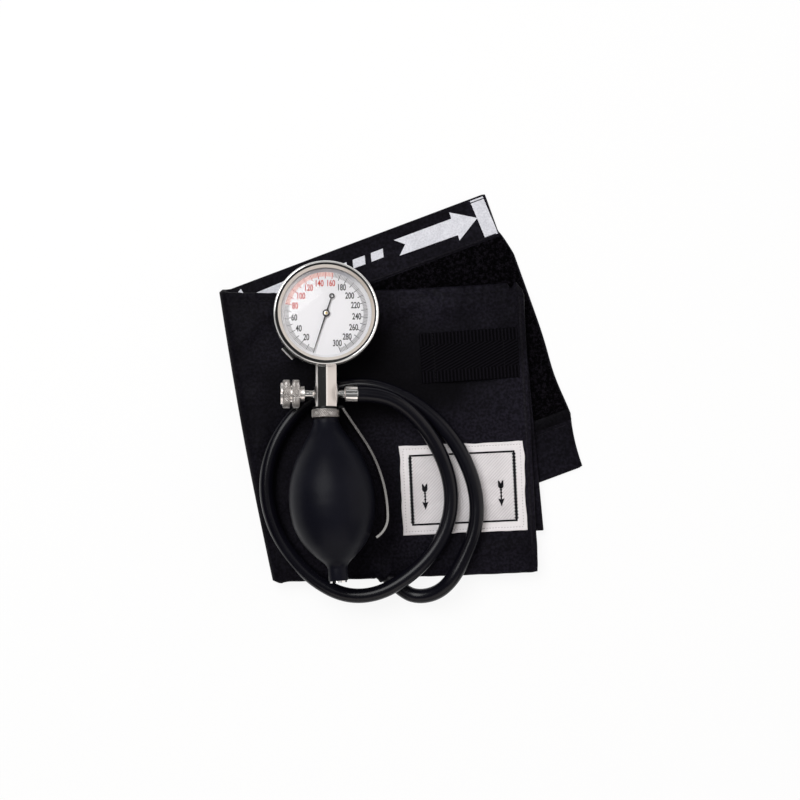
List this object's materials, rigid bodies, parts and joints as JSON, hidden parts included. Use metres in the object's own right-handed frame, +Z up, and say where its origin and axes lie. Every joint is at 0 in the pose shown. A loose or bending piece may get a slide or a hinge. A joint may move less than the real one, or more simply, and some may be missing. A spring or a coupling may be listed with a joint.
{
  "type": "aneroid sphygmomanometer",
  "caption": "Palm aneroid blood pressure gauge with a rubber bulb, release valve and hose, lying on its folded arm cuff; the gauge train, valve and flaps move.",
  "frame": {"origin": "on the underside of the cuff's back panel, near the middle of the folded cuff", "axes": "+Z up out of the surface that the cuff lies on, +Y from the bulb towards the gauge, +X to the right as the dial is read"},
  "size_m": [0.1954, 0.2177, 0.0576],
  "materials": {
    "cuff_cloth": "plain nylon cloth, faint sheen",
    "pile_cloth": "brushed loop pile",
    "webbing": "ribbed twill webbing",
    "label_cloth": "woven satin label with a black frame",
    "bladder_rubber": "smooth moulded rubber",
    "bulb_rubber": "satin moulded rubber",
    "hose_rubber": "satin extruded rubber",
    "seal_rubber": "soft moulded rubber",
    "washer_plastic": "plain",
    "chrome": "bright chrome plating",
    "spoon_steel": "polished nickel-plated spring steel",
    "steel": "turned steel",
    "brass": "turned and stamped brass",
    "capsule_bronze": "thin rolled bronze",
    "dial_white": "satin enamel with a printed scale",
    "surround_white": "moulded, glossy",
    "pointer_black": "black lacquer",
    "crystal_glass": "clear and domed"
  },
  "bodies": {
    "cuff_and_unit": {"cuff_cover": "cuff_cloth", "bladder": "bladder_rubber", "cuff_tail": "cuff_cloth", "loop_pile_pad": "pile_cloth", "gauge_loop": "webbing", "woven_label": "label_cloth", "valve_block": "chrome", "valve_bush": "chrome", "hose_nipple": "chrome", "hose_ferrule": "chrome", "hose": "hose_rubber", "palm_spoon": "spoon_steel", "bulb_nut": "chrome", "outlet_valve": "brass", "bulb": "bulb_rubber", "inlet_valve": "chrome", "gauge_case": "chrome", "rear_cover": "chrome", "hook_clip": "spoon_steel", "neck_washer": "washer_plastic", "neck_nut": "brass", "base_plate": "brass", "air_socket": "brass", "capsule": "capsule_bronze", "movement_plate": "brass", "long_pillars": "brass", "movement_bridge": "brass", "movement_screws": "steel", "hairspring": "capsule_bronze", "hairspring_stud": "brass", "dial_plate": "dial_white", "dial_surround": "surround_white", "crystal_gasket": "seal_rubber", "crystal": "crystal_glass", "bezel_ring": "chrome"},
    "sector": {"sector_gear": "brass"},
    "pointer_arbor": {"pinion_arbor": "brass", "pointer": "pointer_black", "pointer_hub": "brass"},
    "rocker": {"rocking_shaft": "steel"},
    "stud": {"capsule_stud": "brass"},
    "seal": {"valve_seal": "seal_rubber"},
    "knob": {"release_knob": "chrome", "valve_spindle": "steel"},
    "outlet_disc": {"outlet_flap": "seal_rubber"},
    "inlet_disc": {"inlet_flap": "seal_rubber"}
  },
  "joints": [
    {"name": "sector_turn", "type": "hinge", "parent": "cuff_and_unit", "child": "sector", "pos_m": [-0.05285, 0.04109, 0.03157], "axis": [0.0866, 0.108, 0.9904], "range_deg": [0, 45.93], "stiffness_Nm_per_rad": 0.0004, "springref_deg": -17.19},
    {"name": "pointer_turn", "type": "hinge", "parent": "cuff_and_unit", "child": "pointer_arbor", "pos_m": [-0.03856, 0.04541, 0.0354], "axis": [0.0866, 0.108, 0.9904], "range_deg": [-321.5, 0]},
    {"name": "rocker_turn", "type": "hinge", "parent": "cuff_and_unit", "child": "rocker", "pos_m": [-0.03934, 0.04143, 0.02652], "axis": [0.9962, 0, -0.0872], "range_deg": [0, 22.61]},
    {"name": "capsule_lift", "type": "slide", "parent": "cuff_and_unit", "child": "stud", "axis": [0.0866, 0.108, 0.9904], "range_m": [0, 0.00118]},
    {"name": "knob_turn", "type": "hinge", "parent": "seal", "child": "knob", "pos_m": [-0.0391, 0.0032, 0.02925], "axis": [-0.9962, 0, 0.0872], "range_deg": [0, 540]},
    {"name": "valve_travel", "type": "slide", "parent": "cuff_and_unit", "child": "seal", "axis": [-0.9962, 0, 0.0872], "range_m": [0, 0.00113]},
    {"name": "outlet_flap_lift", "type": "slide", "parent": "cuff_and_unit", "child": "outlet_disc", "axis": [-0.0094, 0.9942, -0.1076], "range_m": [0, 0.0006], "stiffness_N_per_m": 5, "springref_m": -0.0003},
    {"name": "inlet_flap_lift", "type": "slide", "parent": "cuff_and_unit", "child": "inlet_disc", "axis": [-0.0823, 0.9915, -0.1009], "range_m": [0, 0.0006], "stiffness_N_per_m": 5, "springref_m": -0.0003}
  ],
  "couplings": [
    {"joint": "pointer_turn", "follows": "sector_turn", "ratio": -7},
    {"joint": "rocker_turn", "follows": "sector_turn", "ratio": 0.49109},
    {"joint": "capsule_lift", "follows": "sector_turn", "m_per_rad": 0.0014638},
    {"joint": "valve_travel", "follows": "knob_turn", "m_per_rad": 0.00011937}
  ]
}
